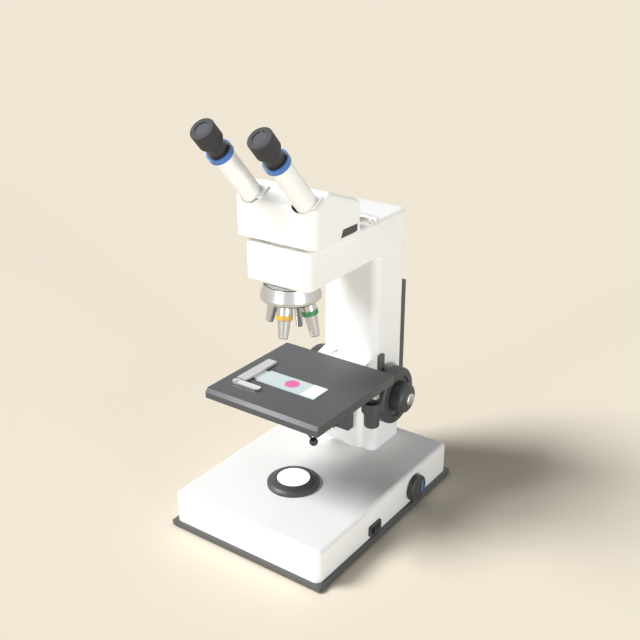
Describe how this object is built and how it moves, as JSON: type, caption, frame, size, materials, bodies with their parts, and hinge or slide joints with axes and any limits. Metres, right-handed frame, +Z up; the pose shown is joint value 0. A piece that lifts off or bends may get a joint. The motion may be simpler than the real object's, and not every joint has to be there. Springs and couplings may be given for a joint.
{
  "type": "binocular compound microscope",
  "caption": "Binocular microscope with lit base, focusing cross stage, condenser, revolving nosepiece and inclined eyepieces.",
  "frame": {"origin": "the optical axis at the bench plane under the rubber feet", "axes": "+X to the user's right, +Y to the rear (towards the column), +Z up along the optical axis"},
  "size_m": [0.2025, 0.2693, 0.4513],
  "materials": {
    "base_plate": "satin",
    "rubber_feet": "matte",
    "plate_screws": "brushed",
    "base_housing": "satin",
    "lamp_ring": "matte",
    "field_lens": "frosted",
    "collector_lens": "clear",
    "lamp_module": "satin",
    "driver_board": "coated",
    "dimmer_knob": "matte",
    "switch_body": "matte",
    "switch_rocker": "matte",
    "power_jack": "matte",
    "column": "white paint on cast aluminium",
    "arm": "white paint on cast aluminium",
    "arm_cover": "satin",
    "focus_block": "white paint on cast aluminium",
    "rear_cover": "matte",
    "m5_bolts": "brushed",
    "m3_screws": "brushed",
    "coarse_shaft": "brushed",
    "coarse_knobs": "matte",
    "fine_shaft": "brushed",
    "fine_knobs": "matte",
    "stop_lever": "satin",
    "lift_slide": "brushed",
    "stage_bracket": "dark anodised",
    "stage_carrier": "dark anodised",
    "y_plate": "dark anodised",
    "y_knob": "matte",
    "stage_plate": "dark anodised",
    "x_rack": "brushed",
    "x_knob": "matte",
    "clip_bar": "brushed",
    "clip_finger": "polished",
    "glass_slide": "clear",
    "slide_marks": "matte",
    "condenser_holder": "dark anodised",
    "condenser_body": "dark anodised",
    "condenser_lens": "clear",
    "iris_lever": "brushed",
    "condenser_knob": "matte",
    "nosepiece_seat": "satin",
    "turret": "satin",
    "objectives_long": "satin",
    "objectives_short": "satin",
    "objective_bands": "satin",
    "objective_lenses": "clear",
    "head_mount": "satin",
    "head_housing": "satin",
    "port_cover": "matte",
    "clamp_screw": "polished",
    "prisms": "clear",
    "tube_left": "white paint on aluminium tube",
    "tube_right": "white paint on aluminium tube",
    "ring_left": "satin",
    "ring_right": "satin",
    "eyepiece_left": "matte",
    "eyepiece_right": "matte"
  },
  "bodies": {
    "frame": {"base_plate": "base_plate", "rubber_feet": "rubber_feet", "plate_screws": "plate_screws", "base_housing": "base_housing", "lamp_ring": "lamp_ring", "field_lens": "field_lens", "collector_lens": "collector_lens", "lamp_module": "lamp_module", "driver_board": "driver_board", "switch_body": "switch_body", "power_jack": "power_jack", "column": "column", "arm": "arm", "arm_cover": "arm_cover", "focus_block": "focus_block", "rear_cover": "rear_cover", "m5_bolts": "m5_bolts", "m3_screws": "m3_screws", "nosepiece_seat": "nosepiece_seat", "head_mount": "head_mount", "head_housing": "head_housing", "port_cover": "port_cover", "prisms": "prisms"},
    "brightness": {"dimmer_knob": "dimmer_knob"},
    "power": {"switch_rocker": "switch_rocker"},
    "coarse": {"coarse_shaft": "coarse_shaft", "coarse_knobs": "coarse_knobs"},
    "fine": {"fine_shaft": "fine_shaft", "fine_knobs": "fine_knobs"},
    "stop": {"stop_lever": "stop_lever"},
    "lift": {"lift_slide": "lift_slide", "stage_bracket": "stage_bracket", "stage_carrier": "stage_carrier"},
    "stage_y": {"y_plate": "y_plate"},
    "y_drive": {"y_knob": "y_knob"},
    "stage_x": {"stage_plate": "stage_plate", "x_rack": "x_rack", "clip_bar": "clip_bar", "glass_slide": "glass_slide", "slide_marks": "slide_marks"},
    "x_drive": {"x_knob": "x_knob"},
    "finger": {"clip_finger": "clip_finger"},
    "condenser": {"condenser_holder": "condenser_holder", "condenser_body": "condenser_body", "condenser_lens": "condenser_lens"},
    "iris": {"iris_lever": "iris_lever"},
    "condenser_drive": {"condenser_knob": "condenser_knob"},
    "nosepiece": {"turret": "turret", "objectives_long": "objectives_long", "objectives_short": "objectives_short", "objective_bands": "objective_bands", "objective_lenses": "objective_lenses"},
    "clamp": {"clamp_screw": "clamp_screw"},
    "left_tube": {"tube_left": "tube_left", "eyepiece_left": "eyepiece_left"},
    "left_ring": {"ring_left": "ring_left"},
    "right_tube": {"tube_right": "tube_right", "eyepiece_right": "eyepiece_right"},
    "right_ring": {"ring_right": "ring_right"}
  },
  "joints": [
    {"name": "stage_lift", "type": "slide", "parent": "frame", "child": "lift", "axis": [0, 0, 1], "range_m": [0, 0.05]},
    {"name": "coarse_turn", "type": "hinge", "parent": "frame", "child": "coarse", "pos_m": [0, 0.121, 0.117], "axis": [-1, 0, 0], "range_deg": [-1, 360]},
    {"name": "fine_turn", "type": "hinge", "parent": "frame", "child": "fine", "pos_m": [0, 0.121, 0.117], "axis": [1, 0, 0], "continuous": true},
    {"name": "stop_turn", "type": "hinge", "parent": "frame", "child": "stop", "pos_m": [0.0379, 0.121, 0.117], "axis": [1, 0, 0], "range_deg": [-25, 5]},
    {"name": "stage_y_slide", "type": "slide", "parent": "lift", "child": "stage_y", "axis": [0, 1, 0], "range_m": [-0.01, 0.01]},
    {"name": "y_turn", "type": "hinge", "parent": "stage_y", "child": "y_drive", "pos_m": [0.062, 0.059, 0.14], "axis": [0, 0, 1], "range_deg": [-89, 89]},
    {"name": "stage_x_slide", "type": "slide", "parent": "stage_y", "child": "stage_x", "axis": [1, 0, 0], "range_m": [-0.01, 0.025]},
    {"name": "x_turn", "type": "hinge", "parent": "stage_y", "child": "x_drive", "pos_m": [0.062, 0.059, 0.14], "axis": [0, 0, 1], "range_deg": [-89, 221]},
    {"name": "finger_turn", "type": "hinge", "parent": "stage_x", "child": "finger", "pos_m": [-0.051, -0.03, 0.1665], "axis": [0, 0, 1], "range_deg": [-30, 8]},
    {"name": "condenser_lift", "type": "slide", "parent": "lift", "child": "condenser", "axis": [0, 0, 1], "range_m": [-0.012, 0]},
    {"name": "condenser_turn", "type": "hinge", "parent": "lift", "child": "condenser_drive", "pos_m": [0, 0.0585, 0.1062], "axis": [1, 0, 0], "range_deg": [-138.5, 1]},
    {"name": "iris_turn", "type": "hinge", "parent": "condenser", "child": "iris", "pos_m": [0, 0, 0.1308], "axis": [0, 0, 1], "range_deg": [-20, 20]},
    {"name": "nosepiece_turn", "type": "hinge", "parent": "frame", "child": "nosepiece", "pos_m": [0, 0, 0.263], "axis": [0, 0, 1], "continuous": true},
    {"name": "brightness_turn", "type": "hinge", "parent": "frame", "child": "brightness", "pos_m": [0.0955, 0.097, 0.0236], "axis": [1, 0, 0], "range_deg": [-135, 135]},
    {"name": "power_rock", "type": "hinge", "parent": "frame", "child": "power", "pos_m": [0.0915, 0.015, 0.0165], "axis": [0, 0, 1], "range_deg": [-12, 0]},
    {"name": "clamp_turn", "type": "hinge", "parent": "frame", "child": "clamp", "pos_m": [0.03, 0.065, 0.3378], "axis": [1, 0, 0], "range_deg": [-360, 0]},
    {"name": "right_tube_slide", "type": "slide", "parent": "frame", "child": "right_tube", "axis": [-1, 0, 0], "range_m": [0, 0.0035]},
    {"name": "left_tube_slide", "type": "slide", "parent": "frame", "child": "left_tube", "axis": [1, 0, 0], "range_m": [0, 0.0035]},
    {"name": "left_ring_turn", "type": "hinge", "parent": "left_tube", "child": "left_ring", "pos_m": [-0.03275, -0.018, 0.37117], "axis": [0, -0.6691, 0.7431], "range_deg": [-150, 150]},
    {"name": "right_ring_turn", "type": "hinge", "parent": "right_tube", "child": "right_ring", "pos_m": [0.03275, -0.018, 0.37117], "axis": [0, -0.6691, 0.7431], "range_deg": [-150, 150]}
  ],
  "couplings": [
    {"joint": "coarse_turn", "follows": "stage_lift", "rad_per_m": 125},
    {"joint": "y_turn", "follows": "stage_y_slide", "rad_per_m": 153.85},
    {"joint": "x_turn", "follows": "stage_x_slide", "rad_per_m": 153.85},
    {"joint": "condenser_turn", "follows": "condenser_lift", "rad_per_m": 200},
    {"joint": "left_tube_slide", "follows": "right_tube_slide", "ratio": 1}
  ]
}
